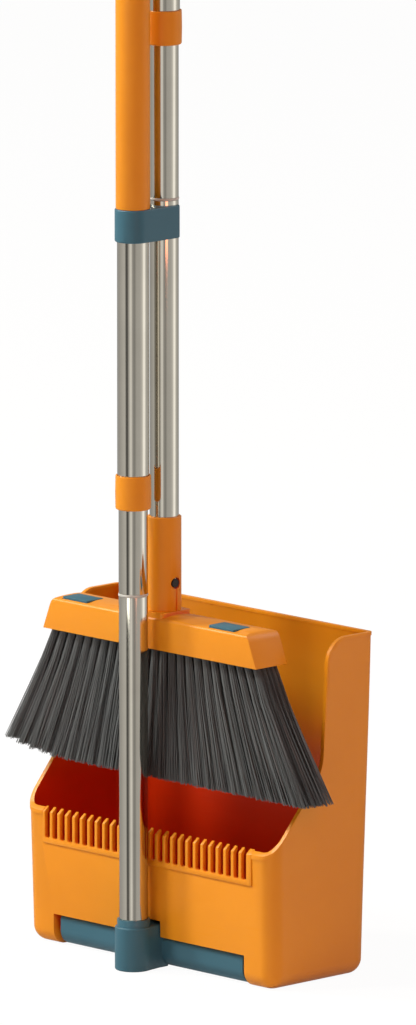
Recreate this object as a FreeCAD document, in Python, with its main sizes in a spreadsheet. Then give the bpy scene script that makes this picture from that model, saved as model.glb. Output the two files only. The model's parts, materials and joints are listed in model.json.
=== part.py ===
import FreeCAD, Part
import math
import os
import Sketcher
from FreeCAD import Rotation, Vector

# Upright dust pan with a long folding handle, and a long broom clipped behind that handle.
# X runs across the set, +Z is up, and the broom's face and the pan's cover look along -Y.
# The origin is on the floor, half way across the set and half way through its depth.
# The pan stands on the wall that is its rear wall in use; its sweeping floor is the tall
# back panel, and a low front cover with comb teeth closes the dust pocket.

doc = FreeCAD.newDocument("DustPanAndBrushSet")

# ---------------------------------------------------------------- driving sizes, in mm
SIZES = {
    # pan
    "pan_half_base": 139.0, "pan_half_lip": 144.0, "pan_height": 274.0,
    "front_y": -37.5, "front_lean": 5.0, "back_y": 67.9,
    "wall": 2.6, "front_corner": 13.5, "back_corner_base": 13.5, "back_corner_lip": 4.0,
    "bottom_round": 12.5, "inner_round": 10.0,
    "rim_out": 0.6, "rim_in": 0.3, "rim_face": 2.8,
    # where the sides are cut down to the low cover, seen from the side
    "cover_y": -40.5, "cover_z": 107.2, "ledge_y": -35.3, "ledge_z": 111.2,
    "slope_y": 14.5, "slope_z": 169.0, "shoulder_y": 19.0, "slope_round": 40.0,
    "shoulder_round": 20.0,
    # comb set in the cover
    "comb_half": 118.4, "comb_base_z": 82.0, "comb_thick": 3.6, "comb_front_y": -40.2,
    "slot_wide": 5.5, "tooth_wide": 3.08, "slot_base_z": 86.2, "slot_round": 2.0,
    "comb_shift": -1.5, "slot_count": 27,
    # recess for the fold barrel
    "recess_half": 108.3, "recess_top": 25.2, "recess_deep": 28.0,
    "notch_half": 13.9, "notch_top": 38.0,
    "axis_y": -23.2, "axis_z": 12.3,
    "boss_r": 7.4, "boss_proud": 4.0, "boss_inside": 8.0,
    "pin_r": 3.0, "pin_in": 12.0, "pin_head_r": 5.0, "pin_head": 2.0,
    "pin_clear": 0.05,
    # fold barrel and foot
    "barrel_half": 103.8, "barrel_r": 11.7, "barrel_corner": 3.0,
    "foot_r": 14.8, "foot_neck": 12.6, "foot_high": 35.0, "foot_edge": 1.4, "foot_back_y": -28.0,
    "lip_r": 13.0, "lip_top": 40.5, "socket_z": 8.0,
    "foot_screw_way": 2.1, "foot_screw_sink": 4.2, "foot_head_r": 4.0, "foot_head_high": 2.4,
    "foot_head_z": 0.6, "foot_shank_r": 2.0, "foot_shank_long": 19.0,
    # poles
    "handle_y": -53.7, "broom_y": -20.1, "tube_r": 11.5, "tube_wall": 0.8,
    "outer_tube_r": 12.5, "outer_tube_wall": 0.8, "fit": 0.1,
    "collar_r": 13.9, "collar_high": 27.0, "collar_gap": 0.35, "collar_low_round": 1.4,
    "collar_top_round": 0.5, "collar_belly": 0.25, "tube_in_collar": 14.04,
    "grip_r": 13.5, "grip_long": 244.0, "grip_edge": 0.8,
    "cap_high": 34.0, "cap_hole_r": 4.0, "cap_hole_z": 18.7, "cap_flat_half": 8.0,
    "cap_flat_z": 9.0, "cap_plug": 14.0, "cap_gap": 4.0, "cap_round": 7.0, "cap_taper": 2.4,
    "ring_r": 11.85, "ring_high": 2.0, "insert_deep": 26.0, "thread_r": 7.0,
    "thread_long": 18.0, "plug_deep": 30.0, "tube_overlap": 210.0, "bush_high": 16.0,
    "bush_flange": 7.0, "foot_plug_bore": 1.9, "foot_plug_high": 22.0,
    # handle pole, heights above the floor
    "handle_joint_z": 299.0, "handle_collar_z": 368.0, "clip_z": 580.0, "clip_high": 26.0,
    "clip_r": 14.3, "jaw_r": 11.8, "clip_end_round": 4.5, "clip_reach": 39.4, "jaw_open": 9.9,
    # broom
    "head_base_z": 254.5, "head_top_z": 279.5, "head_half": 120.5, "head_shoulder": 109.5,
    "head_deep": 34.0, "head_round": 13.0, "head_edge": 2.5, "head_wall": 2.5,
    "crown_rise": 3.0, "crown_round": 70.0, "spigot_base_z": 262.5,
    "pad_long": 29.0, "pad_deep": 18.0, "pad_thick": 2.0, "pad_x": 83.0, "pad_shift": 4.0,
    "pad_y": -25.5, "pad_gap": 0.1, "pad_corner": 1.5, "pad_proud": 0.5, "pad_floor_z": 1.9,
    "plate_thick": 6.0, "plate_half": 113.5, "plate_deep": 29.0,
    "field_base": 176.0, "field_top": 118.0, "field_low_z": 151.0, "field_front": -41.6,
    "field_back": -4.5, "field_corner": 8.0,
    "neck_r": 13.5, "neck_base_z": 283.5, "neck_top_z": 358.5, "plinth_half_x": 14.0,
    "plinth_half_y": 16.0, "plinth_corner": 3.0, "neck_socket_z": 290.0,
    "screw_z": 306.0, "screw_hole_r": 4.75, "groove_half": 1.2, "groove_deep": 0.7,
    "neck_head_r": 3.4, "neck_head_high": 1.4, "neck_shank_r": 1.5, "neck_shank_in": 6.0,
    # broom pole, heights above the floor
    "broom_joint_z": 609.5, "broom_collar_z": 732.0, "broom_grip_z": 877.0,
}

sheet = doc.addObject("Spreadsheet::Sheet", "Sizes")
for row, (alias, value) in enumerate(SIZES.items(), start=1):
    sheet.set("A%d" % row, str(value))
    sheet.setAlias("A%d" % row, alias)
doc.recompute()


def size(words):
    """The value of an expression in the sheet's names, such as "pan_height - wall"."""
    result = sheet.evalExpression(words)
    return float(getattr(result, "Value", result))


def bound(words):
    """The same expression as other objects write it, with the sheet's name before each alias."""
    return " ".join("Sizes." + w if w in SIZES else w for w in words.split())


# ---------------------------------------------------------------- helpers
def new_body(name):
    body = doc.addObject("PartDesign::Body", name)
    body.Label = name
    return body


def new_sketch(body, name, role, lift=None):
    """A sketch on one of the body's origin planes, lifted along its normal by an expression."""
    sketch = body.newObject("Sketcher::SketchObject", name)
    plane = next(f for f in body.Origin.OriginFeatures if f.Role == role)
    sketch.AttachmentSupport = (plane, "")
    sketch.MapMode = "FlatFace"
    if lift:
        sketch.setExpression("AttachmentOffset.Base.z", bound(lift))
    return sketch


def pin_value(sketch, kind, *places, words):
    """A dimension whose value is bound to the sheet."""
    number = sketch.addConstraint(Sketcher.Constraint(kind, *places, size(words)))
    sketch.setExpression("Constraints[%d]" % number, bound(words))


def outline(sketch, corners):
    """A closed outline of straight runs. Each corner is (across, up, radius), written as
    expressions, and a corner with a radius is rounded by an arc tangent to both runs."""
    points = [Vector(size(a), size(b), 0) for a, b, _ in corners]
    count = len(corners)
    ends = []
    for i, (_, _, radius) in enumerate(corners):
        before = (points[i - 1] - points[i]).normalize()
        after = (points[(i + 1) % count] - points[i]).normalize()
        if not radius:
            ends.append((points[i], points[i], None))
            continue
        half = before.getAngle(after) / 2
        step = size(radius) / math.tan(half)
        centre = points[i] + (before + after).normalize() * (size(radius) / math.sin(half))
        ends.append((points[i] + before * step, points[i] + after * step, centre))
    lines = []
    for i in range(count):
        lines.append(sketch.addGeometry(Part.LineSegment(ends[i][1], ends[(i + 1) % count][0])))
    for i, (across, up, radius) in enumerate(corners):
        last, following = lines[i - 1], lines[i]
        if not radius:
            sketch.addConstraint(Sketcher.Constraint("Coincident", last, 2, following, 1))
            pin_value(sketch, "DistanceX", -1, 1, following, 1, words=across)
            pin_value(sketch, "DistanceY", -1, 1, following, 1, words=up)
            continue
        start, stop, centre = ends[i]
        middle = centre + (points[i] - centre).normalize() * size(radius)
        arc = sketch.addGeometry(Part.Arc(start, middle, stop))
        turn = (start - centre).cross(stop - centre).z
        first, second = (1, 2) if turn > 0 else (2, 1)
        sketch.addConstraint(Sketcher.Constraint("Tangent", last, 2, arc, first))
        sketch.addConstraint(Sketcher.Constraint("Tangent", arc, second, following, 1))
        pin_value(sketch, "Radius", arc, words=radius)
        corner = sketch.addGeometry(Part.Point(points[i]), True)
        sketch.addConstraint(Sketcher.Constraint("PointOnObject", corner, 1, last))
        sketch.addConstraint(Sketcher.Constraint("PointOnObject", corner, 1, following))
        pin_value(sketch, "DistanceX", -1, 1, corner, 1, words=across)
        pin_value(sketch, "DistanceY", -1, 1, corner, 1, words=up)


def circle(sketch, radius, across="0", up="0"):
    number = sketch.addGeometry(Part.Circle(Vector(size(across), size(up), 0),
                                            Vector(0, 0, 1), size(radius)))
    pin_value(sketch, "Radius", number, words=radius)
    pin_value(sketch, "DistanceX", -1, 1, number, 3, words=across)
    pin_value(sketch, "DistanceY", -1, 1, number, 3, words=up)


def feature(body, kind, name, profile, **settings):
    item = body.newObject("PartDesign::" + kind, name)
    item.Profile = profile
    for key, value in settings.items():
        setattr(item, key, value)
    return item


def pad(body, name, sketch, length, **settings):
    item = feature(body, "Pad", name, sketch, **settings)
    item.setExpression("Length", bound(length))
    return item


def revolve(body, name, corners, kind="Revolution"):
    """A turned piece: corners are (radius, height, rounding) in the XZ plane."""
    sketch = new_sketch(body, name + "_outline", "XZ_Plane")
    outline(sketch, corners)
    item = feature(body, kind, name, sketch, Angle=360.0)
    item.ReferenceAxis = (sketch, ["V_Axis"])
    return item


def put(item, across=None, deep=None, up=None):
    """The item's Placement, bound to the sheet."""
    for axis, words in (("x", across), ("y", deep), ("z", up)):
        if words:
            item.setExpression("Placement.Base." + axis, bound(words))


def block(name, low, high):
    """A box between two corners, each written as three expressions."""
    item = doc.addObject("Part::Box", name)
    for side, axis, a, b in zip(("Length", "Width", "Height"), "xyz", low, high):
        item.setExpression(side, bound("( %s ) - ( %s )" % (b, a)))
        item.setExpression("Placement.Base." + axis, bound(a))
    return item


def rod(name, radius, length, place, direction=Vector(0, 0, 1)):
    """A cylinder along a direction, with its start at a place written as expressions."""
    item = doc.addObject("Part::Cylinder", name)
    item.setExpression("Radius", bound(radius))
    item.setExpression("Height", bound(length))
    item.Placement.Rotation = Rotation(Vector(0, 0, 1), direction)
    put(item, *place)
    return item


def fuse(name, *shapes):
    item = doc.addObject("Part::MultiFuse", name)
    item.Shapes = list(shapes)
    item.Refine = True
    return item


def common(name, *shapes):
    item = doc.addObject("Part::MultiCommon", name)
    item.Shapes = list(shapes)
    return item


def cut(name, base, tool):
    item = doc.addObject("Part::Cut", name)
    item.Base = base
    item.Tool = tool
    item.Refine = True
    return item


def edges_where(shape, test):
    return ["Edge%d" % (i + 1) for i, edge in enumerate(shape.Edges) if test(edge)]


def round_edges(body, name, base, radius, test):
    doc.recompute()
    item = body.newObject("PartDesign::Fillet", name)
    item.Base = (base, edges_where(base.Shape, test))
    item.setExpression("Radius", bound(radius))
    return item


def soften(name, base, radius, test):
    """A Part fillet of one radius on the edges that the test picks."""
    doc.recompute()
    item = doc.addObject("Part::Fillet", name)
    item.Base = base
    chosen = [i + 1 for i, edge in enumerate(base.Shape.Edges) if test(edge)]
    item.Edges = [(i, size(radius), size(radius)) for i in chosen]
    return item


def level(edge, height, slack=0.01):
    """True where every end of the edge is at one height."""
    return all(abs(v.Z - height) < slack for v in edge.Vertexes)


kept = []


def keep(item, name):
    item.Label = name
    kept.append((item, name))
    return item


# ---------------------------------------------------------------- pan
def tub(name, grow, low, high, corner_change, base_round):
    """A round-cornered tub between two heights, its walls moved out by grow. Its front leans
    forward and its sides lean out as they rise, so that it draws from the mould."""
    def at(height):
        share = "( %s ) / pan_height" % height
        half = "pan_half_base + ( pan_half_lip - pan_half_base ) * %s + %s" % (share, grow)
        return half, "front_y - front_lean * %s - ( %s )" % (share, grow)

    half_low, front_low = at(low)
    half_high, front_high = at(high)
    back = "back_y + ( %s )" % grow
    across = new_body(name + "_across")
    face = new_sketch(across, name + "_face", "XZ_Plane")
    outline(face, [("0 - ( %s )" % half_low, low, None), (half_low, low, None),
                   (half_high, high, None), ("0 - ( %s )" % half_high, high, None)])
    pad(across, name + "_face_block", face, "500", Midplane=True)
    along = new_body(name + "_along")
    side = new_sketch(along, name + "_side", "YZ_Plane")
    outline(side, [(front_low, low, None), (back, low, None), (back, high, None),
                   (front_high, high, None)])
    pad(along, name + "_side_block", side, "500", Midplane=True)
    body = common(name + "_form", across, along)
    doc.recompute()

    # the back corners grow sharper towards the lip
    change = size(corner_change)
    corners = doc.addObject("Part::Fillet", name + "_corners")
    corners.Base = body
    chosen = []
    for number, edge in enumerate(body.Shape.Edges, start=1):
        start, stop = (v.Point for v in edge.Vertexes)
        if abs(start.z - stop.z) < 1:
            continue
        radii = [size("front_corner") + change] * 2
        if start.y > 0:
            radii = [size("back_corner_base") + change,
                     max(size("back_corner_lip") + change, 1.0)]
            if start.z > stop.z:
                radii.reverse()
        chosen.append((number, *radii))
    corners.Edges = chosen
    if not base_round:
        return corners
    bottom = size(low)
    return soften(name, corners, base_round, lambda e: level(e, bottom))


def opening(name, drop):
    """What is cut away above the cover and in front of the sides. drop moves the outline
    down and back, which leaves the band that the rim stands on."""
    body = new_body(name)
    sketch = new_sketch(body, name + "_outline", "YZ_Plane")
    sloped = "%s * 0.76" % drop
    outline(sketch, [
        ("cover_y - 40", "cover_z - 40 * ( ledge_z - cover_z ) / ( ledge_y - cover_y ) - %s * 1.26"
         % drop, None),
        ("ledge_y + %s * 0.1" % drop, "ledge_z - %s * 1.2" % drop, None),
        ("slope_y + " + sloped, "slope_z - %s * 0.3" % drop, "slope_round"),
        ("shoulder_y + " + drop, "pan_height - " + drop, "shoulder_round"),
        ("back_y + 40", "pan_height - " + drop, None),
        ("back_y + 40", "pan_height + 60", None),
        ("cover_y - 40", "pan_height + 60", None)])
    pad(body, name + "_across", sketch, "pan_half_lip * 2 + 60", Midplane=True)
    return body


def make_pan():
    outside = tub("pan_outside", "0", "0", "pan_height", "0", "bottom_round")
    inside = tub("pan_inside", "- wall", "wall", "pan_height + 2", "- wall", "inner_round")
    rim_outside = tub("rim_outside", "rim_out", "60", "pan_height", "rim_out", None)
    rim_inside = tub("rim_inside", "- wall - rim_in", "50", "pan_height + 2",
                     "- wall - rim_in", None)
    walls = cut("pan_walls", outside, inside)

    # recess for the barrel and the notch for the foot, with walls on their inner sides
    back = "front_y + recess_deep"
    recess = fuse(
        "recess_space",
        block("barrel_space", ("- recess_half", "front_y - 20", "- 20"),
              ("recess_half", back, "recess_top")),
        block("foot_space", ("- notch_half", "front_y - 20", "- 20"),
              ("notch_half", back, "notch_top")))
    lining = common("recess_lining", outside, fuse(
        "recess_block",
        block("barrel_lining", ("- recess_half - wall", "front_y - 5", "- 5"),
              ("recess_half + wall", back + " + wall", "recess_top + wall")),
        block("foot_lining", ("- notch_half - wall", "front_y - 5", "- 5"),
              ("notch_half + wall", back + " + wall", "notch_top + wall"))))

    # bosses that carry the two hinge pins, in both ends of the recess
    bosses = []
    holes = []
    for side, name in ((-1, "left"), (1, "right")):
        sign = "" if side > 0 else "- "
        way = Vector(side, 0, 0)
        start = (sign + "1 * ( recess_half - boss_proud )", "axis_y", "axis_z")
        bosses.append(rod("boss_" + name, "boss_r", "boss_proud + wall + boss_inside",
                          start, way))
        holes.append(rod("boss_hole_" + name, "pin_r", "boss_proud + wall + boss_inside + 4",
                         (sign + "1 * ( recess_half - boss_proud - 2 )", "axis_y", "axis_z"),
                         way))

    lined = cut("pan_with_recess", fuse("pan_lined", walls, lining), recess)
    bossed = cut("pan_with_bosses", fuse("pan_bossed", lined, *bosses),
                 fuse("boss_holes", *holes))

    # thickened rim that follows the opening
    band = common("rim_band", cut("rim_ring", rim_outside, rim_inside),
                  opening("rim_zone", "rim_face"))
    rimmed = cut("pan_rimmed", fuse("pan_with_rim", bossed, band), opening("pan_opening", "0"))
    window = block("comb_window", ("- comb_half", "front_y - 20", "comb_base_z + 1.5"),
                   ("comb_half", "front_y + 12", "ledge_z + 20"))
    ledge = block("comb_ledge", ("- comb_half", "front_y - 20", "comb_base_z"),
                  ("comb_half", "front_y - 1.45", "ledge_z + 20"))
    keep(cut("pan_shell", rimmed, fuse("comb_seat", window, ledge)), "pan_shell")


def make_comb():
    """A strip set in the top of the cover: upright teeth whose tops lean back."""
    body = new_body("comb_strip")
    section = new_sketch(body, "comb_section", "YZ_Plane")
    outline(section, [
        ("comb_front_y", "comb_base_z", None),
        ("front_y - 1.5", "comb_base_z", None),
        ("front_y - 1.5", "comb_base_z + 1.55", None),
        ("comb_front_y + comb_thick", "comb_base_z + 1.55", None),
        ("comb_front_y + comb_thick", "ledge_z - 6", None),
        ("ledge_y - 0.1", "ledge_z - 3.4", None),
        ("ledge_y - 0.1", "ledge_z - 0.1", None),
        ("comb_front_y", "cover_z + 0.1", None)])
    pad(body, "comb_bar", section, "comb_half * 2 - 0.1", Midplane=True)
    slot = new_sketch(body, "slot_outline", "XZ_Plane")
    start = "comb_shift - ( slot_count * slot_wide + ( slot_count - 1 ) * tooth_wide ) / 2"
    outline(slot, [
        (start, "slot_base_z", "slot_round"),
        (start + " + slot_wide", "slot_base_z", "slot_round"),
        (start + " + slot_wide", "ledge_z + 5", None),
        (start, "ledge_z + 5", None)])
    first = feature(body, "Pocket", "first_slot", slot, Type="ThroughAll", Midplane=True)
    pattern = body.newObject("PartDesign::LinearPattern", "slots")
    pattern.Originals = [first]
    pattern.Direction = (slot, ["H_Axis"])
    pattern.setExpression("Length", bound("( slot_count - 1 ) * ( slot_wide + tooth_wide )"))
    pattern.Occurrences = int(size("slot_count"))
    body.Tip = pattern
    keep(body, "comb_strip")


def make_pins():
    """Steel pins pushed through the bosses from inside the pan into the barrel's ends."""
    for side, name in ((-1, "left"), (1, "right")):
        sign = "" if side > 0 else "- "
        way = Vector(side, 0, 0)
        inner = sign + "1 * ( barrel_half - pin_in )"
        head = sign + "1 * ( recess_half + wall + boss_inside )"
        shank = rod("pin_shank_" + name, "pin_r",
                    "recess_half + wall + boss_inside - barrel_half + pin_in",
                    (inner, "axis_y", "axis_z"), way)
        cap = rod("pin_head_" + name, "pin_head_r", "pin_head", (head, "axis_y", "axis_z"), way)
        keep(fuse("hinge_pin_" + name, shank, cap), "hinge_pin_" + name)


# ---------------------------------------------------------------- foot and barrel
def make_foot():
    barrel = new_body("barrel_form")
    section = new_sketch(barrel, "barrel_section", "YZ_Plane")
    outline(section, [
        ("axis_y - barrel_r", "axis_z - barrel_r", "barrel_r - 0.3"),
        ("axis_y + barrel_r", "axis_z - barrel_r", "barrel_r - 0.3"),
        ("axis_y + barrel_r", "axis_z + barrel_r", "barrel_r - 0.3"),
        ("axis_y - barrel_r", "axis_z + barrel_r", "barrel_corner")])
    bar = pad(barrel, "barrel_bar", section, "barrel_half * 2", Midplane=True)
    end = size("barrel_half")
    round_edges(barrel, "barrel_ends", bar, "0.8",
                lambda e: all(abs(abs(v.X) - end) < 0.01 for v in e.Vertexes))

    front = new_body("foot_front")
    revolve(front, "foot_turned", [
        ("0", "0", None), ("foot_r", "0", "foot_edge"), ("foot_r", "foot_high", "foot_edge"),
        ("0", "foot_high", None)])
    put(front, deep="handle_y")
    neck = new_body("foot_neck_form")
    plan = new_sketch(neck, "foot_plan", "XY_Plane")
    outline(plan, [
        ("- foot_r", "handle_y", None), ("foot_r", "handle_y", None),
        ("foot_neck", "front_y", None), ("foot_neck", "foot_back_y", None),
        ("- foot_neck", "foot_back_y", None), ("- foot_neck", "front_y", None)])
    stem = pad(neck, "foot_stem", plan, "foot_high")
    top = size("foot_high")
    round_edges(neck, "foot_edges", stem, "foot_edge",
                lambda e: (level(e, 0) or level(e, top)) and e.BoundBox.YLength > 1)
    lip = rod("foot_lip", "lip_r", "lip_top - 20", ("0", "handle_y", "20"))
    socket = rod("foot_socket", "tube_r", "lip_top", ("0", "handle_y", "socket_z"))
    screw_way = rod("foot_screw_way", "foot_screw_way", "socket_z + 2", ("0", "handle_y", "- 1"))
    screw_sink = rod("foot_screw_sink", "foot_screw_sink", "4", ("0", "handle_y", "- 1"))
    bores = [rod("barrel_bore_" + name, "pin_r + pin_clear", "pin_in + 2",
                 (sign + "1 * ( barrel_half - pin_in - 1 )", "axis_y", "axis_z"),
                 Vector(side, 0, 0))
             for side, sign, name in ((-1, "- ", "left"), (1, "", "right"))]
    solid = fuse("foot_solid", barrel, front, neck, lip)
    keep(cut("handle_foot", solid,
             fuse("foot_holes", socket, screw_way, screw_sink, *bores)), "handle_foot")
    head = rod("foot_screw_head", "foot_head_r", "foot_head_high",
               ("0", "handle_y", "foot_head_z"))
    shank = rod("foot_screw_shank", "foot_shank_r", "foot_shank_long",
                ("0", "handle_y", "foot_head_z + foot_head_high"))
    keep(fuse("foot_screw", head, shank), "foot_screw")


# ---------------------------------------------------------------- poles
def turned(name, corners, deep, up):
    """A turned piece kept under its own name, standing on a pole's axis."""
    body = new_body(name)
    revolve(body, name + "_turned", corners)
    put(body, deep=deep, up=up)
    return keep(body, name)


def ring_corners(outer, inner, height, edge=None):
    return [(inner, "0", None), (outer, "0", edge), (outer, height, edge), (inner, height, None)]


def make_pole(which, axis, base, joint, collar, bottom_plug):
    """The two-piece inner tube, its screwed joint and the twist lock. Returns the height at
    which the outer tube starts, inside the collar."""
    bore = "tube_r - tube_wall"
    turned(which + "_tube_lower",
           ring_corners("tube_r", bore, "%s - ( %s )" % (joint, base)), axis, base)
    if bottom_plug:
        turned(which + "_tube_plug",
               ring_corners(bore, "foot_plug_bore", "foot_plug_high", "0.6"), axis, base)
    turned(which + "_screw_insert", ring_corners(bore, "thread_r", "insert_deep"), axis,
           "%s - insert_deep" % joint)
    plug = [("0", "0 - thread_long", None), ("thread_r - 0.1", "0 - thread_long", None),
            ("thread_r - 0.1", "0", None), ("ring_r", "0", "0.6"),
            ("ring_r", "ring_high", "0.6"), (bore, "ring_high", None),
            (bore, "plug_deep", "1.5"), ("0", "plug_deep", None)]
    turned(which + "_screw_plug", plug, axis, joint)
    start = "%s + ring_high" % joint
    turned(which + "_tube_middle",
           ring_corners("tube_r", bore, "%s + tube_overlap - ( %s )" % (collar, start)),
           axis, start)
    slide = "outer_tube_r - outer_tube_wall - fit"
    turned(which + "_guide_bush", [
        ("0", "- bush_high", None), (bore, "- bush_high", "1"), (bore, "0", None),
        (slide, "0", None), (slide, "bush_flange", "1"), ("0", "bush_flange", None)],
        axis, "%s + tube_overlap" % collar)
    turned(which + "_collet", [
        ("tube_r + fit", "0.8", None), ("outer_tube_r", "0.8", None),
        ("outer_tube_r + 0.3", "collar_high * 0.4", None),
        ("outer_tube_r", "tube_in_collar", None),
        ("tube_r + fit", "tube_in_collar", None)], axis, collar)
    turned(which + "_collar", [
        ("tube_r + collar_gap", "0", None), ("collar_r", "0", "collar_low_round"),
        ("collar_r + collar_belly", "collar_high * 0.5", "30"),
        ("collar_r", "collar_high", "collar_top_round"),
        ("outer_tube_r + collar_gap", "collar_high", None),
        ("outer_tube_r + collar_gap + 0.35", "collar_high * 0.4", None),
        ("outer_tube_r + collar_gap", "0.4", None),
        ("tube_r + collar_gap", "0.4", None)], axis, collar)
    return "%s + tube_in_collar" % collar


def make_top(which, axis, tube_start, grip_start):
    """The outer tube, its grip and the cap with the hanging hole."""
    grip_end = "%s + grip_long" % grip_start
    turned(which + "_tube_upper",
           ring_corners("outer_tube_r", "outer_tube_r - outer_tube_wall",
                        "%s - ( %s ) - cap_gap" % (grip_end, tube_start)), axis, tube_start)
    turned(which + "_grip", [
        ("outer_tube_r", "0", None), ("grip_r", "0", "grip_edge"),
        ("grip_r", "grip_long", "grip_edge"),
        ("outer_tube_r", "grip_long", None)], axis, grip_start)
    body = new_body(which + "_cap_form")
    revolve(body, which + "_cap_turned", [
        ("0", "- cap_plug", None), ("outer_tube_r - outer_tube_wall", "- cap_plug", "1"),
        ("outer_tube_r - outer_tube_wall", "- cap_gap", None),
        ("outer_tube_r", "- cap_gap", None), ("outer_tube_r", "0", None),
        ("grip_r", "0", "grip_edge"), ("grip_r - cap_taper", "cap_high", "cap_round"),
        ("0", "cap_high", None)])
    put(body, deep=axis, up=grip_end)
    hole = rod(which + "_cap_hole", "cap_hole_r", "grip_r * 4",
               ("- grip_r * 2", axis, "%s + cap_hole_z" % grip_end), Vector(1, 0, 0))
    flats = [block("%s_cap_flat_%s" % (which, tag),
                   (a, "%s - 20" % axis, "%s + cap_flat_z" % grip_end),
                   (b, "%s + 20" % axis, "%s + 60" % grip_end))
             for tag, a, b in (("left", "- 30", "- cap_flat_half"),
                               ("right", "cap_flat_half", "30"))]
    keep(cut(which + "_cap", body, fuse(which + "_cap_cuts", hole, *flats)), which + "_cap")


def make_clip():
    """A band on the handle's tube, with open jaws behind it for the broom's tube."""
    body = new_body("pole_clip")
    plan = new_sketch(body, "clip_plan", "XY_Plane")
    outline(plan, [
        ("- clip_r", "handle_y - clip_r", "clip_r - 0.05"),
        ("clip_r", "handle_y - clip_r", "clip_r - 0.05"),
        ("clip_r", "handle_y + clip_reach", "clip_end_round"),
        ("- clip_r", "handle_y + clip_reach", "clip_end_round")])
    band = pad(body, "clip_band", plan, "clip_high")
    top = size("clip_high")
    round_edges(body, "clip_edges", band, "1.2", lambda e: level(e, 0) or level(e, top))
    holes = new_sketch(body, "clip_holes", "XY_Plane")
    circle(holes, "outer_tube_r", "0", "handle_y")
    circle(holes, "jaw_r", "0", "broom_y")
    feature(body, "Pocket", "clip_bores", holes, Type="ThroughAll", Midplane=True)
    mouth = new_sketch(body, "clip_mouth", "XY_Plane")
    outline(mouth, [
        ("- jaw_open", "broom_y", None), ("jaw_open", "broom_y", None),
        ("jaw_open + 1.5", "broom_y + 30", None), ("- jaw_open - 1.5", "broom_y + 30", None)])
    feature(body, "Pocket", "clip_opening", mouth, Type="ThroughAll", Midplane=True)
    put(body, up="clip_z")
    keep(body, "pole_clip")


# ---------------------------------------------------------------- broom head
def make_head():
    front = "broom_y - head_deep / 2"
    back = "broom_y + head_deep / 2"

    def slab(name, half, shoulder, low, high, near, far, corner):
        body = new_body(name)
        face = new_sketch(body, name + "_face", "XZ_Plane", lift="0 - ( %s )" % far)
        outline(face, [
            ("0 - ( %s )" % half, low, None), (half, low, None),
            (shoulder, high, corner), ("0 - ( %s )" % shoulder, high, corner)])
        pad(body, name + "_block", face, "( %s ) - ( %s )" % (far, near))
        return body

    outer = slab("head_outer", "head_half", "head_shoulder", "head_base_z",
                 "head_top_z + crown_rise", front, back, "head_round")
    # the top is crowned from front to back, with soft long edges
    crown = new_body("head_crown")
    section = new_sketch(crown, "crown_section", "YZ_Plane")
    outline(section, [
        (front, "head_base_z - 5", None), (front, "head_top_z", "head_edge"),
        ("broom_y", "head_top_z + crown_rise", "crown_round"), (back, "head_top_z", "head_edge"),
        (back, "head_base_z - 5", None)])
    pad(crown, "crown_across", section, "head_half * 2 + 20", Midplane=True)
    solid = common("head_solid", outer, crown)
    hollow = slab("head_hollow", "head_half - head_wall", "head_shoulder - head_wall",
                  "head_base_z - 2", "head_top_z - head_wall", front + " + head_wall",
                  back + " - head_wall", "head_round - head_wall")
    plinth = new_body("plinth_form")
    plan = new_sketch(plinth, "plinth_plan", "XY_Plane")
    outline(plan, [
        ("- plinth_half_x", "broom_y - plinth_half_y", "plinth_corner"),
        ("plinth_half_x", "broom_y - plinth_half_y", "plinth_corner"),
        ("plinth_half_x", "broom_y + plinth_half_y", "plinth_corner"),
        ("- plinth_half_x", "broom_y + plinth_half_y", "plinth_corner")])
    pad(plinth, "plinth_block", plan, "neck_base_z - head_base_z - 5")
    put(plinth, up="head_base_z + plate_thick - 1")
    spigot_hole = rod("spigot_hole", "thread_r", "60", ("0", "broom_y", "spigot_base_z"))
    recesses = [block("pad_seat_" + name,
                      (sign + "1 * pad_x - pad_shift - pad_long / 2", "pad_y - pad_deep / 2",
                       "head_top_z + pad_floor_z - pad_thick"),
                      (sign + "1 * pad_x - pad_shift + pad_long / 2", "pad_y + pad_deep / 2",
                       "head_top_z + 20"))
                for sign, name in (("- ", "left"), ("", "right"))]
    shell = cut("head_shell", solid, hollow)
    full = fuse("head_full", shell, plinth)
    keep(cut("broom_head", full, fuse("head_cuts", spigot_hole, *recesses)), "broom_head")

    for sign, name in (("- ", "left"), ("", "right")):
        place = sign + "1 * pad_x - pad_shift"
        body = new_body("pad_" + name)
        sketch = new_sketch(body, "pad_plan_" + name, "XY_Plane")
        outline(sketch, [
            ("- pad_long / 2 + pad_gap", "- pad_deep / 2 + pad_gap", "pad_corner"),
            ("pad_long / 2 - pad_gap", "- pad_deep / 2 + pad_gap", "pad_corner"),
            ("pad_long / 2 - pad_gap", "pad_deep / 2 - pad_gap", "pad_corner"),
            ("- pad_long / 2 + pad_gap", "pad_deep / 2 - pad_gap", "pad_corner")])
        pad(body, "pad_block_" + name, sketch, "pad_thick + pad_proud")
        put(body, across=place, deep="pad_y", up="head_top_z + pad_floor_z - pad_thick")
        keep(body, "pad_" + name)


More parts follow.
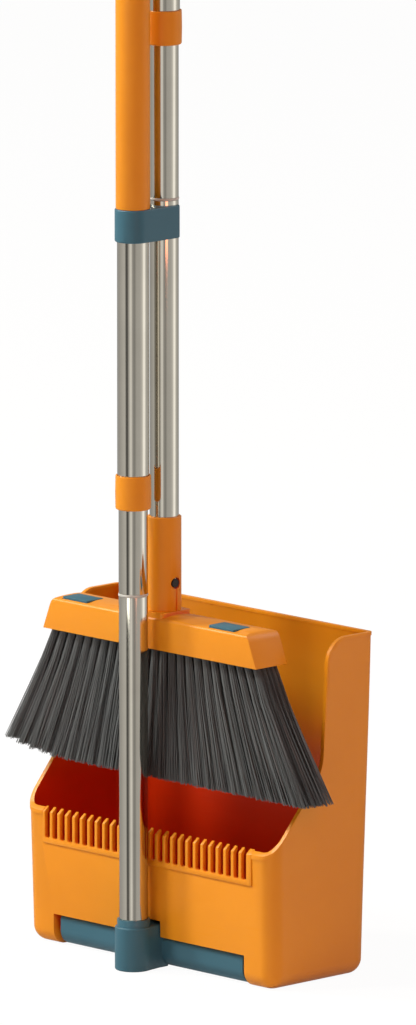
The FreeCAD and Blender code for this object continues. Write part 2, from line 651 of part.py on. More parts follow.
def make_bristles():
    """The black plate that holds the tufts, and the field of bristles as one closed solid."""
    plate = block("bristle_plate",
                  ("- plate_half", "broom_y - plate_deep / 2", "head_base_z - 1"),
                  ("plate_half", "broom_y + plate_deep / 2", "head_base_z + plate_thick - 1"))
    keep(plate, "bristle_plate")
    field = new_body("bristles")
    levels = []
    for tag, height, half, near, far in (
            ("low", "field_low_z", "field_base", "field_front", "field_back"),
            ("top", "head_base_z - 1", "field_top", "broom_y - plate_deep / 2 + 1",
             "broom_y + plate_deep / 2 - 1")):
        sketch = new_sketch(field, "field_" + tag, "XY_Plane", lift=height)
        outline(sketch, [
            ("0 - " + half, near, "field_corner"), (half, near, "field_corner"),
            (half, far, "field_corner"), ("0 - " + half, far, "field_corner")])
        levels.append(sketch)
    loft = field.newObject("PartDesign::AdditiveLoft", "field_block")
    loft.Profile = levels[0]
    loft.Sections = [levels[1]]
    loft.Ruled = True
    keep(field, "bristles")


def make_neck():
    """The round socket screwed into the head, with the broom's tube held in it by a screw."""
    turned_neck = new_body("neck_form")
    revolve(turned_neck, "neck_turned", [
        ("0", "spigot_base_z", None), ("thread_r - 0.1", "spigot_base_z", None),
        ("thread_r - 0.1", "neck_base_z", None), ("neck_r", "neck_base_z", "0.6"),
        ("neck_r", "neck_top_z", "1"), ("tube_r", "neck_top_z", None),
        ("tube_r", "neck_socket_z", None), ("0", "neck_socket_z", None)])
    put(turned_neck, deep="broom_y")
    hole = rod("neck_screw_way", "screw_hole_r", "30", ("0", "broom_y", "screw_z"),
               Vector(1, 0, 0))
    groove = block("neck_groove",
                   ("neck_r - groove_deep", "broom_y - groove_half", "neck_base_z"),
                   ("neck_r + 5", "broom_y + groove_half", "screw_z - 4"))
    keep(cut("broom_neck", turned_neck, fuse("neck_cuts", hole, groove)), "broom_neck")
    head = rod("neck_screw_head", "neck_head_r", "neck_head_high",
               ("tube_r", "broom_y", "screw_z"), Vector(1, 0, 0))
    shank = rod("neck_screw_shank", "neck_shank_r", "neck_shank_in + 1",
                ("tube_r - neck_shank_in", "broom_y", "screw_z"), Vector(1, 0, 0))
    keep(fuse("neck_screw", head, shank), "neck_screw")


# ---------------------------------------------------------------- build
make_pan()
make_comb()
make_pins()
make_foot()
tube_start = make_pole("handle", "handle_y", "socket_z", "handle_joint_z", "handle_collar_z",
                       True)
make_top("handle", "handle_y", tube_start, "clip_z + clip_high")
make_clip()
make_head()
make_bristles()
make_neck()
tube_start = make_pole("broom", "broom_y", "neck_socket_z", "broom_joint_z", "broom_collar_z",
                       False)
make_top("broom", "broom_y", tube_start, "broom_grip_z")

doc.recompute()
for item in doc.Objects:
    if "Invalid" in item.State or "Error" in item.State:
        raise RuntimeError("%s is %s" % (item.Name, item.State))
for item, name in kept:
    if item.Shape.isNull() or not item.Shape.isValid():
        raise RuntimeError("%s has no valid shape" % name)

os.makedirs("parts", exist_ok=True)
for item, name in kept:
    item.Shape.exportStep("parts/%s.step" % name)
    print("%-22s %2d solid(s) %10.1f mm3" % (name, len(item.Shape.Solids), item.Shape.Volume))
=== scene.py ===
# %% [markdown]
# # An upright dust pan with its brush
# An orange pan stands on its end wall, with a steel handle hinged to its front. A soft brush
# on a pole of its own is clipped behind that handle. The exact sizes and the joints come from
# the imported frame, which loads first. Every piece below sits on it and moves with it.

# %% The frame
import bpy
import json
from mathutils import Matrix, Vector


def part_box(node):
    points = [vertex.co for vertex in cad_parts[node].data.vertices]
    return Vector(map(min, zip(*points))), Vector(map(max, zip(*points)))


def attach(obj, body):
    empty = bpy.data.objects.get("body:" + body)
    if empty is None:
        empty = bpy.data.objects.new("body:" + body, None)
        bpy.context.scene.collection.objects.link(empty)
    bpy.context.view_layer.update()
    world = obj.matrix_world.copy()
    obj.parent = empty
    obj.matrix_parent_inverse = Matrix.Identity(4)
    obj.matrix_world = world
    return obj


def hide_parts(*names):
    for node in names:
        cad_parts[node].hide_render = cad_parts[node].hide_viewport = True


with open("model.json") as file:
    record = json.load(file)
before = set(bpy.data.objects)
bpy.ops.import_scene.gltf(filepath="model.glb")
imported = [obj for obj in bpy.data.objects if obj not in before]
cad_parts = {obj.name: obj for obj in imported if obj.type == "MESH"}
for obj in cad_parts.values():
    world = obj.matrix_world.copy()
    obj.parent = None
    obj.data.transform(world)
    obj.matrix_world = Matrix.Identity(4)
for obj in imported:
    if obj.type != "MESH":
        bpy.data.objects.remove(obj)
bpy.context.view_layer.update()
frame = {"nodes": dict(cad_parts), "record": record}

# %% Tools
import json
import math
import random
import bmesh
import bpy
from mathutils import Matrix, Vector

MM = 0.001
record = frame["record"]
body_of = {node: body for body, nodes in record["behaviour"]["bodies"].items() for node in nodes}
slot_of = {row["node"]: row["material_slot"] for row in record["subparts"]}

# %% [markdown]
# ## The camera
# A long lens far away flattens the view, so the pan's walls stay nearly parallel. The camera
# stands to the right of the front and a little above, and looks at the middle of the set.
# It could be set by its angles, but aiming it at a point is easier to adjust.

# %% Camera
AIM = Vector((0, 0.0276, 0.3545))
TURN, RISE, DISTANCE = math.radians(46), math.radians(10.5), 11.19
LENS_MM = 500
lens = bpy.data.cameras.new("view")
lens.lens = LENS_MM
camera = bpy.data.objects.new("view", lens)
bpy.context.scene.collection.objects.link(camera)
bpy.context.scene.camera = camera
bpy.context.scene.view_settings.view_transform = "Standard"
toward = Vector((math.sin(TURN) * math.cos(RISE), -math.cos(TURN) * math.cos(RISE),
                 math.sin(RISE)))
camera.location = AIM + toward * DISTANCE
camera.rotation_euler = (-toward).to_track_quat("-Z", "Y").to_euler()
print("camera at", tuple(round(v, 2) for v in camera.location))

# %% [markdown]
# ## Small tools for nodes
# Every finish is a tree of nodes, and so are the floor and the sky. One function adds a node,
# sets its options and fills or links its inputs. Doing that line by line works too, but it
# takes four times the lines.

# %% Add a node, start a finish
def add(tree, kind, inputs=None, **options):
    node = tree.nodes.new("ShaderNode" + kind)
    for name, value in options.items():
        setattr(node, name, value)
    for name, value in (inputs or {}).items():
        if isinstance(value, bpy.types.NodeSocket):
            tree.links.new(value, node.inputs[name])
        else:
            node.inputs[name].default_value = value
    return node


def new_finish(name):
    finish = bpy.data.materials.new(name)
    finish.use_nodes = True
    return finish, finish.node_tree, finish.node_tree.nodes["Principled BSDF"]


print("tools for nodes:", add.__name__, new_finish.__name__)

# %% [markdown]
# ## Floor and light
# The floor is one pale sheet that runs far past the set. The main light is a lamp high at the
# front left. A tall strip on the left lights the grips, a warm lamp at the right opens the
# shadows, and one behind draws the edges. Steel shows what is around it, so the sky has bright
# and dark upright bands. A picture of a studio could do that too, but a few blended steps need
# no file.

# %% Floor
FLOOR_GREY, FLOOR_ROUGH, FLOOR_REACH = 0.62, 0.9, 30
GLOW, GLOW_SHARE = 1.04, 0.92     # the sheet's own light, and how much of its look that makes


def stage_floor():
    shape = bmesh.new()
    bmesh.ops.create_grid(shape, x_segments=1, y_segments=1, size=FLOOR_REACH)
    sheet = bpy.data.meshes.new("floor")
    shape.to_mesh(sheet)
    shape.free()
    floor = bpy.data.objects.new("floor", sheet)
    bpy.context.scene.collection.objects.link(floor)
    paper, tree, shader = new_finish("floor_paper")
    shader.inputs["Base Color"].default_value = (FLOOR_GREY, FLOOR_GREY, FLOOR_GREY, 1)
    shader.inputs["Roughness"].default_value = FLOOR_ROUGH
    glow = add(tree, "Emission", {"Strength": GLOW})
    direct = add(tree, "LightPath").outputs["Is Camera Ray"]
    share = add(tree, "Math", {0: direct, 1: GLOW_SHARE}, operation="MULTIPLY")
    mix = add(tree, "MixShader", {"Fac": share.outputs[0], 1: shader.outputs[0],
                                  2: glow.outputs[0]})
    tree.links.new(mix.outputs[0], tree.nodes["Material Output"].inputs["Surface"])
    sheet.materials.append(paper)
    floor.visible_glossy = False     # or the steel would mirror nothing but white
    print("floor", [round(v, 1) for v in floor.dimensions])


stage_floor()

# %% Lamps
def lamp(name, place, target, width, height, power, tint=(1, 1, 1)):
    data = bpy.data.lights.new(name, "AREA")
    data.shape = "RECTANGLE"
    data.size, data.size_y = width, height
    data.energy = power
    data.color = tint
    item = bpy.data.objects.new(name, data)
    bpy.context.scene.collection.objects.link(item)
    item.location = place
    item.rotation_euler = (Vector(target) - Vector(place)).to_track_quat("-Z", "Y").to_euler()
    print(name, power, "W")


lamp("key", (-1.7, -2.7, 4.4), (0, 0, 0.5), 0.8, 1.0, 140, (1, 1.0, 0.88))
lamp("low front", (0.4, -4.3, 0.9), (0, 0, 0.5), 1.6, 1.0, 13, (1, 1.0, 0.92))
lamp("left strip", (-2.9, -1.8, 2.7), (0, 0, 1.35), 0.5, 1.8, 125, (1, 0.99, 0.86))
lamp("fill", (3.6, -1.6, 1.7), (0, 0, 0.4), 1.4, 2.2, 31, (1, 0.31, 0.16))
lamp("rim", (1.2, 2.6, 2.6), (0, 0, 0.5), 1.2, 1.6, 22)

# %% Sky
BANDS = [  # (share of a full turn, brightness) of the upright bands that steel shows
    (0.00, 0.45), (0.04, 0.44), (0.15, 0.60), (0.205, 0.66), (0.235, 0.10), (0.262, 0.10),
    (0.29, 0.50), (0.325, 0.95), (0.345, 0.90), (0.37, 0.42), (0.41, 0.30), (0.445, 0.52),
    (0.53, 0.56), (0.575, 0.75), (0.615, 1.45), (0.64, 1.35), (0.68, 0.62), (0.77, 0.42),
    (0.88, 0.34), (1.00, 0.45)]
BAND_GREEN, BAND_BLUE = 0.985, 0.95                # the bands are a little warm
BACKDROP = 0.97                                    # what the camera sees behind the set
ROOM_TINT, ROOM_LIGHT = (1, 0.80, 0.66, 1), 0.30   # what falls on plastic from all round


def sky():
    world = bpy.data.worlds.new("studio")
    bpy.context.scene.world = world
    world.use_nodes = True
    tree = world.node_tree
    tree.nodes.clear()
    way = add(tree, "SeparateXYZ", {0: add(tree, "TexCoord").outputs["Generated"]})
    angle = add(tree, "Math", {0: way.outputs["Y"], 1: way.outputs["X"]}, operation="ARCTAN2")
    share = add(tree, "MapRange", {"Value": angle.outputs[0], "From Min": -math.pi,
                                   "From Max": math.pi})
    ramp = add(tree, "ValToRGB", {"Fac": share.outputs["Result"]})
    steps = ramp.color_ramp.elements
    for step, (place, light) in zip(steps, (BANDS[0], BANDS[-1])):
        step.position = place
        step.color = (light, light, light, 1)
    for place, light in BANDS[1:-1]:
        steps.new(place).color = (light, light * BAND_GREEN, light * BAND_BLUE, 1)
    backdrop = add(tree, "Background", {"Color": (1, 1, 1, 1), "Strength": BACKDROP})
    room = add(tree, "Background", {"Color": ROOM_TINT, "Strength": ROOM_LIGHT})
    bands = add(tree, "Background", {"Color": ramp.outputs["Color"], "Strength": 1.0})
    ray = add(tree, "LightPath").outputs
    matt = add(tree, "MixShader", {"Fac": ray["Is Camera Ray"], 1: room.outputs[0],
                                   2: backdrop.outputs[0]})
    both = add(tree, "MixShader", {"Fac": ray["Is Glossy Ray"], 1: matt.outputs[0],
                                   2: bands.outputs[0]})
    add(tree, "OutputWorld", {"Surface": both.outputs[0]})
    print("sky with", len(BANDS), "steps")


sky()

# %% [markdown]
# ## Finishes
# Each finish is a small tree of nodes. What several finishes share is a node group: the fine
# grain that a spark-eroded mould leaves on plastic, and the long lines that drawing leaves on
# steel tube. A group gives values and a bumped normal, and each finish keeps its own shader.
# Orange plastic has painted shade: its colour turns a deeper red where its light would bounce
# between its own walls.

# %% Groups
def new_group(name, inputs, outputs):
    group = bpy.data.node_groups.new(name, "ShaderNodeTree")
    for label, kind, start in inputs:
        socket = group.interface.new_socket(label, in_out="INPUT", socket_type=kind)
        socket.default_value = start
    for label, kind in outputs:
        group.interface.new_socket(label, in_out="OUTPUT", socket_type=kind)
    return group, group.nodes.new("NodeGroupInput"), group.nodes.new("NodeGroupOutput")


def use(tree, group, inputs=None):
    node = add(tree, "Group")
    node.node_tree = group
    for name, value in (inputs or {}).items():
        node.inputs[name].default_value = value
    return node


print("tools for groups:", new_group.__name__, use.__name__)

# %% Mould grain
FLOAT, NORMAL = "NodeSocketFloat", "NodeSocketVector"


def make_grain():
    group, source, out = new_group(
        "mould_grain", [("Grain", FLOAT, 1400.0), ("Depth", FLOAT, 0.12)],
        [("Cloud", FLOAT), ("Speck", FLOAT), ("Scuff", FLOAT), ("Normal", NORMAL)])
    place = add(group, "TexCoord").outputs["Object"]
    fine = add(group, "TexNoise", {"Vector": place, "Scale": source.outputs["Grain"],
                                   "Detail": 2.0, "Roughness": 0.6})
    broad = add(group, "TexNoise", {"Vector": place, "Scale": 9.0, "Detail": 4.0,
                                    "Roughness": 0.6})
    bump = add(group, "Bump", {"Height": fine.outputs["Fac"], "Distance": 0.0002,
                               "Strength": source.outputs["Depth"]})
    lie = add(group, "Mapping", {"Vector": place, "Rotation": (0.3, 0.5, 0.9),
                                 "Scale": (1, 14, 14)})
    marks = add(group, "TexNoise", {"Vector": lie.outputs[0], "Scale": 26.0, "Detail": 1.0})
    scuff = add(group, "MapRange", {"Value": marks.outputs["Fac"], "From Min": 0.66,
                                    "From Max": 0.72})
    group.links.new(scuff.outputs["Result"], out.inputs["Scuff"])
    group.links.new(broad.outputs["Fac"], out.inputs["Cloud"])
    group.links.new(fine.outputs["Fac"], out.inputs["Speck"])
    group.links.new(bump.outputs["Normal"], out.inputs["Normal"])
    return group


grain = make_grain()
print("grain outputs:", [s.name for s in grain.interface.items_tree if s.in_out == "OUTPUT"])

# %% Drawn lines
def make_lines():
    group, source, out = new_group(
        "drawn_lines", [("Fineness", FLOAT, 1800.0), ("Depth", FLOAT, 0.1)],
        [("Lines", FLOAT), ("Smudge", FLOAT), ("Normal", NORMAL)])
    place = add(group, "TexCoord").outputs["Object"]
    stretch = add(group, "Mapping", {"Vector": place, "Scale": (1, 1, 0.004)})
    lines = add(group, "TexNoise", {"Vector": stretch.outputs[0],
                                    "Scale": source.outputs["Fineness"], "Detail": 2.0})
    smudge = add(group, "TexNoise", {"Vector": place, "Scale": 24.0, "Detail": 5.0,
                                     "Roughness": 0.65})
    bump = add(group, "Bump", {"Height": lines.outputs["Fac"], "Distance": 0.0001,
                               "Strength": source.outputs["Depth"]})
    group.links.new(lines.outputs["Fac"], out.inputs["Lines"])
    group.links.new(smudge.outputs["Fac"], out.inputs["Smudge"])
    group.links.new(bump.outputs["Normal"], out.inputs["Normal"])
    return group


lines = make_lines()
print("lines outputs:", [s.name for s in lines.interface.items_tree if s.in_out == "OUTPUT"])

# %% Plastics
def blend_colour(tree, low, high, mask):
    mix = add(tree, "Mix", data_type="RGBA")
    mix.inputs[6].default_value = (*low, 1)
    mix.inputs[7].default_value = (*high, 1)
    tree.links.new(mask, mix.inputs[0])
    return mix.outputs[2]


def span(tree, value, low, high, start=0.3, end=0.7):
    node = add(tree, "MapRange", {"Value": value, "From Min": start, "From Max": end,
                                  "To Min": low, "To Max": high})
    return node.outputs["Result"]


def maths(tree, operation, *values):
    node = add(tree, "Math", dict(enumerate(values)), operation=operation)
    return node.outputs[0]


# These set where orange plastic takes its painted shade, from how open a spot is and how high it
# sits.
HOLLOW_REACH = 0.2                  # how far a hollow's walls see each other, in metres
HOLLOW_FROM, HOLLOW_TO = 0.48, 0.72     # shares of open sky that count as closed and as open
WALL_OPEN = 0.75                    # the least open share on the hollow's upper walls
SCUFF_DULLS = 0.16
PLASTIC_IOR, PLASTIC_SHINE = 1.49, 0.36


def plastic(name, dark, light, rough, deep=None, falls=None):
    """deep is the colour of the painted shade, which stands in for the light that bounces between
    walls of one colour. falls gives the heights, in metres, between which the painted shade in a
    hollow turns to that colour."""
    finish, tree, shader = new_finish(name)
    skin = use(tree, grain, {"Depth": 0.1})
    colour = blend_colour(tree, dark, light, span(tree, skin.outputs["Cloud"], 0, 1))
    if deep:
        hollow = add(tree, "AmbientOcclusion", {"Distance": HOLLOW_REACH}, only_local=True,
                     samples=8)
        open_share = span(tree, hollow.outputs["AO"], 0, 1, HOLLOW_FROM, HOLLOW_TO)
        if falls:
            place = add(tree, "TexCoord").outputs["Object"]
            height = add(tree, "SeparateXYZ", {0: place}).outputs["Z"]
            painted_lit = add(tree, "MapRange", {"Value": height, "From Min": falls[0],
                                         "From Max": falls[1]}, interpolation_type="SMOOTHSTEP")
            open_share = maths(tree, "MAXIMUM", open_share, WALL_OPEN)
            open_share = maths(tree, "MULTIPLY", open_share, painted_lit.outputs["Result"])
        # painted shade: the colour turns to deep where the walls close in
        mix = add(tree, "Mix", {0: open_share, 7: colour}, data_type="RGBA")
        mix.inputs[6].default_value = (*deep, 1)
        colour = mix.outputs[2]
    tree.links.new(colour, shader.inputs["Base Color"])
    sheen = span(tree, skin.outputs["Speck"], *rough)
    rubbed = maths(tree, "MULTIPLY_ADD", skin.outputs["Scuff"], SCUFF_DULLS, sheen)
    tree.links.new(rubbed, shader.inputs["Roughness"])
    tree.links.new(skin.outputs["Normal"], shader.inputs["Normal"])
    shader.inputs["IOR"].default_value = PLASTIC_IOR
    shader.inputs["Specular IOR Level"].default_value = PLASTIC_SHINE
    return finish


ORANGE_SKIN = ((0.77, 0.272, 0.007), (0.81, 0.296, 0.010), (0.33, 0.43))
# the colour of the painted shade in hollows and creases
PAINTED_SHADE_RED = (0.74, 0.034, 0.0)
# the orange plastic carries painted shade in its creases as well
ORANGE = plastic("orange_plastic", *ORANGE_SKIN, deep=PAINTED_SHADE_RED)
TEAL = plastic("teal_plastic", (0.035, 0.125, 0.19), (0.043, 0.14, 0.21), (0.32, 0.42))
# painted shade: this finish darkens and reddens towards the floor of the hollow
HOLLOW_PAINTED_SHADE = plastic("orange_hollow_painted_shade", *ORANGE_SKIN, deep=PAINTED_SHADE_RED, falls=(0.12, 0.225))
BLACK = plastic("black_plastic", (0.012, 0.012, 0.012), (0.02, 0.02, 0.02), (0.5, 0.6))
BUSH = plastic("natural_plastic", (0.52, 0.53, 0.53), (0.58, 0.59, 0.59), (0.4, 0.5))
print("plastics:", [finish.name for finish in (ORANGE, TEAL, HOLLOW_PAINTED_SHADE, BLACK, BUSH)])

# %% Steel
def steel(name, colour, rough, depth):
    finish, tree, shader = new_finish(name)
    skin = use(tree, lines, {"Depth": depth})
    tone = blend_colour(tree, [c * 0.92 for c in colour], colour,
                        span(tree, skin.outputs["Smudge"], 0, 1))
    tree.links.new(tone, shader.inputs["Base Color"])
    tree.links.new(span(tree, skin.outputs["Lines"], rough[0], rough[1]),
                   shader.inputs["Roughness"])
    tree.links.new(skin.outputs["Normal"], shader.inputs["Normal"])
    shader.inputs["Metallic"].default_value = 1.0
    return finish


TUBE = steel("steel_tube", (0.64, 0.605, 0.53), (0.07, 0.14), 0.05)
SCREW = steel("steel_fastener", (0.55, 0.55, 0.55), (0.25, 0.4), 0.2)
print("steels:", [finish.name for finish in (TUBE, SCREW)])

# %% Bristle fibre
def fibre(name):
    finish, tree, shader = new_finish(name)
    shade = add(tree, "Attribute", attribute_name="shade").outputs["Fac"]
    down = add(tree, "Attribute", attribute_name="down").outputs["Fac"]
    # painted shade: the colour darkens over the first third of each filament, towards the roots
    painted_lit = span(tree, down, 0.35, 1.0, 0.0, 0.35)     # the roots stand in their own shade
    colour = blend_colour(tree, (0.095, 0.102, 0.112), (0.88, 0.95, 1.0),
                          maths(tree, "MULTIPLY", shade, painted_lit))
    tree.links.new(colour, shader.inputs["Base Color"])
    shader.inputs["Roughness"].default_value = 0.42
    shader.inputs["IOR"].default_value = 1.5
    return finish


FIBRE = fibre("bristle")
# The neck's screw (dark_fastener) takes the black plastic, painted dark to stand for the shade in
# the hole it sits in.
finish_of = {"orange_plastic": ORANGE, "teal_plastic": TEAL, "black_plastic": BLACK,
             "natural_plastic": BUSH, "steel_tube": TUBE, "steel_fastener": SCREW,
             "dark_fastener": BLACK, "bristle": FIBRE}
print(len(finish_of), "finishes")

# %% [markdown]
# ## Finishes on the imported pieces
# A CAD piece keeps its shape and takes the finish of its slot through the object's own
# material slots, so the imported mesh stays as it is.

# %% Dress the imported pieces
for node, item in frame["nodes"].items():
    for slot in item.material_slots:
        slot.link = "OBJECT"
        slot.material = finish_of[slot_of[node]]
print("dressed", len(frame["nodes"]), "packed pieces")

# %% [markdown]
# ## Softened mouldings
# A moulded edge is never sharp: it has a small radius that catches a line of light. The packed
# meshes are loose triangles, so a copy is merged, its flat parts are joined into whole faces,
# and every edge that turns sharply is bevelled. A bevel modifier could do it too, but the
# operator lets each piece choose its own edges.

# %% Soften a copy
MERGE, FLAT = 1e-6, math.radians(0.5)
print("points within", MERGE, "m are merged")


def new_piece(name, shape, node):
    """Makes the object, which stands for the CAD node named and moves with its body."""
    mesh = bpy.data.meshes.new(name)
    shape.to_mesh(mesh)
    shape.free()
    mesh.materials.append(finish_of[slot_of[node]])
    item = bpy.data.objects.new(name, mesh)
    bpy.context.scene.collection.objects.link(item)
    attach(item, body_of[node])
    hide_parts(node)
    return item


def smooth_by_angle(shape, degrees=32):
    for face in shape.faces:
        face.smooth = True
    for edge in shape.edges:
        edge.smooth = len(edge.link_faces) == 2 and edge.calc_face_angle(0) < math.radians(degrees)


def softened(node, width, degrees, segments):
    """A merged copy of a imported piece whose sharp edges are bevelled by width, in mm."""
    shape = bmesh.new()
    shape.from_mesh(frame["nodes"][node].data)
    bmesh.ops.remove_doubles(shape, verts=shape.verts, dist=MERGE)
    bmesh.ops.dissolve_limit(shape, angle_limit=FLAT, verts=shape.verts,
                             edges=shape.edges)
    sharp = [e for e in shape.edges
             if len(e.link_faces) == 2 and e.calc_face_angle(0) > math.radians(degrees)]
    bmesh.ops.bevel(shape, geom=sharp, offset=width * MM, segments=segments, profile=0.5,
                    affect="EDGES", clamp_overlap=True, material=-1)
    smooth_by_angle(shape)
    item = new_piece(node + "_soft", shape, node)
    print("%-16s %5d edges softened, %6d faces" % (node, len(sharp), len(item.data.polygons)))
    return item


# %% Pan, comb, foot, clip and head
SOFT_EDGES = {  # node: bevel in mm, the angle that counts as sharp, and segments
    "comb_strip": (0.45, 28, 2), "handle_foot": (0.4, 40, 2), "pole_clip": (0.4, 40, 2),
    "broom_head": (1.3, 40, 3), "broom_neck": (0.5, 40, 2), "pad_left": (0.5, 28, 2),
    "pad_right": (0.5, 28, 2), "handle_cap": (0.5, 40, 2), "broom_cap": (0.5, 40, 2)}
for node, (width, degrees, segments) in SOFT_EDGES.items():
    softened(node, width, degrees, segments)
pan = softened("pan_shell", 0.7, 28, 3)

# %% [markdown]
# ## The painted shade in the pan's hollow
# The faces that look into the pan take a finish with painted shade: its colour reddens towards the
# floor of the hollow, for little light gets down there and what does has bounced off orange walls.
# The outside,
# the rim and the recess for the barrel keep the plain finish. Splitting the pan into two
# pieces would also do, but two materials on one mesh leave no seam.

# %% Paint shade into the hollow
IN_HALF, IN_LEAN = 138.5, 0.018          # inner side walls: half width in mm, lean per mm up
IN_FRONT, FRONT_LEAN, IN_BACK = -37, 0.028, 67
FLOOR_SKIN = 1.4
MIDDLE_Y, LEVEL_BELOW = 15, 25           # level faces count only near the hollow's floor
RECESS_TOP, RECESS_BACK = 29.5, -4


def looks_in(spot, way):
    """True for a face, given by its centre in mm and its normal, that looks into the hollow."""
    within = (abs(spot.x) < IN_HALF + IN_LEAN * spot.z and spot.z > FLOOR_SKIN
              and IN_FRONT - FRONT_LEAN * spot.z < spot.y < IN_BACK)
    low = spot.z < LEVEL_BELOW
    inward = way.y * (MIDDLE_Y - spot.y) - way.x * spot.x > 3 or (way.z > 0.5 and low)
    in_recess = spot.z < RECESS_TOP and spot.y < RECESS_BACK
    return within and inward and not in_recess and way.z > -0.3 and (way.z < 0.5 or low)


pan.data.materials.append(HOLLOW_PAINTED_SHADE)
# the faces that look into the hollow take the painted shade
painted_shade_faces = [face for face in pan.data.polygons if looks_in(face.center / MM, face.normal)]
for face in painted_shade_faces:
    face.material_index = 1
print(len(painted_shade_faces), "faces take the painted shade of the hollow")

# %% [markdown]
# ## Turned pieces
# Tubes, grips and collars are round about a pole's axis. Each is a closed outline of a few
# corners, spun a full turn. A stack of cylinders could do it, but an outline also holds the
# small edge radii, which the light shows on steel.

# %% Spin an outline
SPIN_STEPS = 64
print("outlines are spun in", SPIN_STEPS, "steps")


def turned(node, corners, axis_y, low, edge):
    """corners are (radius, height) in mm, round the section; edge is the corners' bevel."""
    shape = bmesh.new()
    ring = [shape.verts.new((r * MM, 0, h * MM)) for r, h in corners]
    for start, stop in zip(ring, ring[1:] + ring[:1]):
        shape.edges.new((start, stop))
    bmesh.ops.bevel(shape, geom=ring, offset=edge * MM, segments=3, profile=0.5,
                    affect="VERTICES", material=-1)
    bmesh.ops.spin(shape, geom=shape.verts[:] + shape.edges[:], axis=(0, 0, 1), cent=(0, 0, 0),
                   angle=math.tau, steps=SPIN_STEPS, use_merge=True)
    bmesh.ops.remove_doubles(shape, verts=shape.verts, dist=1e-7)
    bmesh.ops.recalc_face_normals(shape, faces=shape.faces)
    bmesh.ops.translate(shape, verts=shape.verts, vec=(0, axis_y * MM, low * MM))
    smooth_by_angle(shape, 25)
    item = new_piece(node + "_turned", shape, node)
    print("%-20s %5d faces" % (node, len(item.data.polygons)))
    return item


def span_of(node):
    low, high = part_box(node)
    return low.z / MM, high.z / MM


def ring_section(inner, outer, height):
    return [(inner, 0), (outer, 0), (outer, height), (inner, height)]


# %% Both poles
HANDLE_Y, BROOM_Y = -53.7, -20.1
TUBE_R, OUTER_R, GRIP_R, WALL = 11.5, 12.5, 13.5, 0.8
TUBE_EDGE, GRIP_EDGE, GRIP_GAP = 0.25, 0.7, 0.01
ROUND_PARTS = [  # (part, inner radius, outer radius, edge)
    ("tube_lower", TUBE_R - WALL, TUBE_R, TUBE_EDGE),
    ("tube_middle", TUBE_R - WALL, TUBE_R, TUBE_EDGE),
    ("tube_upper", OUTER_R - WALL, OUTER_R, TUBE_EDGE),
    ("grip", OUTER_R + GRIP_GAP, GRIP_R, GRIP_EDGE)]
for pole, axis_y in (("handle", HANDLE_Y), ("broom", BROOM_Y)):
    for part, inner, outer, edge in ROUND_PARTS:
        node = "%s_%s" % (pole, part)
        low, high = span_of(node)
        turned(node, ring_section(inner, outer, high - low), axis_y, low, edge)

# %% [markdown]
# ## Bristles
# The brush has twenty-five tufts along it and five rows of them. Each tuft is a bunch of
# straight plastic filaments set in one hole, which lean out and spread towards their tips. Hair
# curves could do this, but a mesh keeps its place on the moving head. One thin filament
# is modelled, copied to fill a tuft, and each row of tufts is then leaned out as a whole.

# %% One tuft
COLUMNS, ROWS, FILAMENTS = 25, 5, 72
CUTS = 4                      # lengths that each filament is divided into, so that it can bend
GOLDEN_TURN = 2.39996         # the angle that spreads points evenly over a disc


def one_tuft():
    """Filaments of unit radius and unit length that hang down from z 0. Each keeps its own
    place in the tuft, inside a disc of unit radius, as two numbers on its points."""
    tuft = bmesh.new()
    across = tuft.verts.layers.float.new("across")
    deep = tuft.verts.layers.float.new("deep")
    for i in range(FILAMENTS):
        reach, turn = math.sqrt((i + 0.5) / FILAMENTS), i * GOLDEN_TURN
        made = bmesh.ops.create_cone(tuft, cap_ends=True, segments=3, radius1=1, radius2=1,
                                     depth=1, matrix=Matrix.Translation((0, 0, -0.5)))
        for vert in made["verts"]:
            vert[across], vert[deep] = reach * math.cos(turn), reach * math.sin(turn)
    for cut in range(1, CUTS):
        bmesh.ops.bisect_plane(tuft, geom=tuft.verts[:] + tuft.edges[:] + tuft.faces[:],
                               plane_co=(0, 0, -cut / CUTS), plane_no=(0, 0, 1))
    mesh = bpy.data.meshes.new("tuft")
    tuft.to_mesh(mesh)
    tuft.free()
    return mesh


tuft_mesh = one_tuft()
print("one tuft:", len(tuft_mesh.vertices), "points")

# %% A row of tufts
ROOT_Z, TIP_Z = 253.4, 151.5
ROOT_HALF, ROOT_DEEP = 113.4, 11.2     # centres of the end tufts and of the outer rows
FILAMENT_R, TAPER = 0.42, 0.25
FLARE_RIGHT, FLARE_LEFT = 1.51, 1.385
TUFT_WIDE, TUFT_DEEP = (3.1, 4.3), (2.3, 2.2)      # radius at the root, and how much it grows
STRAY_X, STRAY_Y, LEAN_Y = 2.6, 1.1, 2.8
ROW_SPREAD, STAGGER = 4.3, 0.1
CLUMPS, CLUMP_SHARE = 1.9, 0.6         # neighbours that stray together, and how much they share
RAGGED = 0.034
WORN_FROM, WORN_RISE = 0.55, 40        # the worn left end of the brush is a little shorter
BRIGHT_SHARE = 0.33


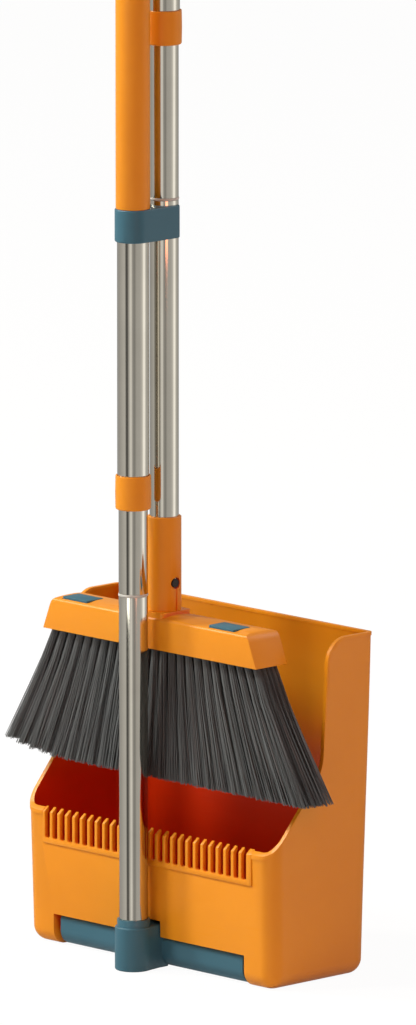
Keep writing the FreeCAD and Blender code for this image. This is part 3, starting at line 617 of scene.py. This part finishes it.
def stray_of(key, luck, clumps):
    """Lean across, lean in depth, bow, cut and tone of one filament, partly its clump's."""
    column, across, deep = key
    clump = (column, round(math.atan2(deep, across) * CLUMPS))
    shared = clumps.setdefault(clump, [luck.uniform(-1, 1) for _ in range(5)])
    stray = [CLUMP_SHARE * s + (1 - CLUMP_SHARE) * luck.uniform(-1, 1) for s in shared[:4]]
    return stray + [1.0 if luck.random() < BRIGHT_SHARE else luck.uniform(-1, 0.3)]


def row_of_tufts(row, luck):
    shape = bmesh.new()
    for column in range(COLUMNS):
        shape.from_mesh(tuft_mesh)
    across = shape.verts.layers.float["across"]
    deep = shape.verts.layers.float["deep"]
    shade = shape.verts.layers.float.new("shade")
    down = shape.verts.layers.float.new("down")
    row_share = (row + 0.5) / ROWS * 2 - 1
    strays, clumps = {}, {}
    for i, vert in enumerate(shape.verts):
        column = i // len(tuft_mesh.vertices)
        key = (column, vert[across], vert[deep])
        if key not in strays:
            strays[key] = stray_of(key, luck, clumps)
        lean_x, lean_y, bow, cut, tone = strays[key]
        share = column / (COLUMNS - 1) * 2 - 1 + (STAGGER if row % 2 else -STAGGER) / COLUMNS
        t = -vert.co.z                                   # 0 at the root, 1 at the tip
        flare = FLARE_RIGHT if share > 0 else FLARE_LEFT
        worn = max(0, -share - WORN_FROM) ** 2 * WORN_RISE * t
        spread = t ** 1.15
        x = (share * ROOT_HALF * (1 + (flare - 1) * t ** 1.12)
             + vert[across] * (TUFT_WIDE[0] + TUFT_WIDE[1] * spread)
             + lean_x * STRAY_X * t + bow * math.sin(t * 3.1))
        y = (BROOM_Y - LEAN_Y * t + row_share * (ROOT_DEEP + ROW_SPREAD * spread)
             + vert[deep] * (TUFT_DEEP[0] + TUFT_DEEP[1] * spread) + lean_y * STRAY_Y * t)
        z = ROOT_Z - (ROOT_Z - TIP_Z) * t * (1 - RAGGED * abs(cut) ** 1.5) + worn
        radius = FILAMENT_R * (1 - TAPER * t)
        vert.co = Vector((x + vert.co.x * radius, y + vert.co.y * radius, z)) * MM
        vert[shade] = 0.5 + 0.5 * tone
        vert[down] = t
    for layer in (across, deep):
        shape.verts.layers.float.remove(layer)
    return new_piece("bristle_row_%d" % (row + 1), shape, "bristles")


luck = random.Random(7)
for row in range(ROWS):
    item = row_of_tufts(row, luck)
    print(item.name, len(item.data.polygons), "faces")
bpy.data.meshes.remove(tuft_mesh)
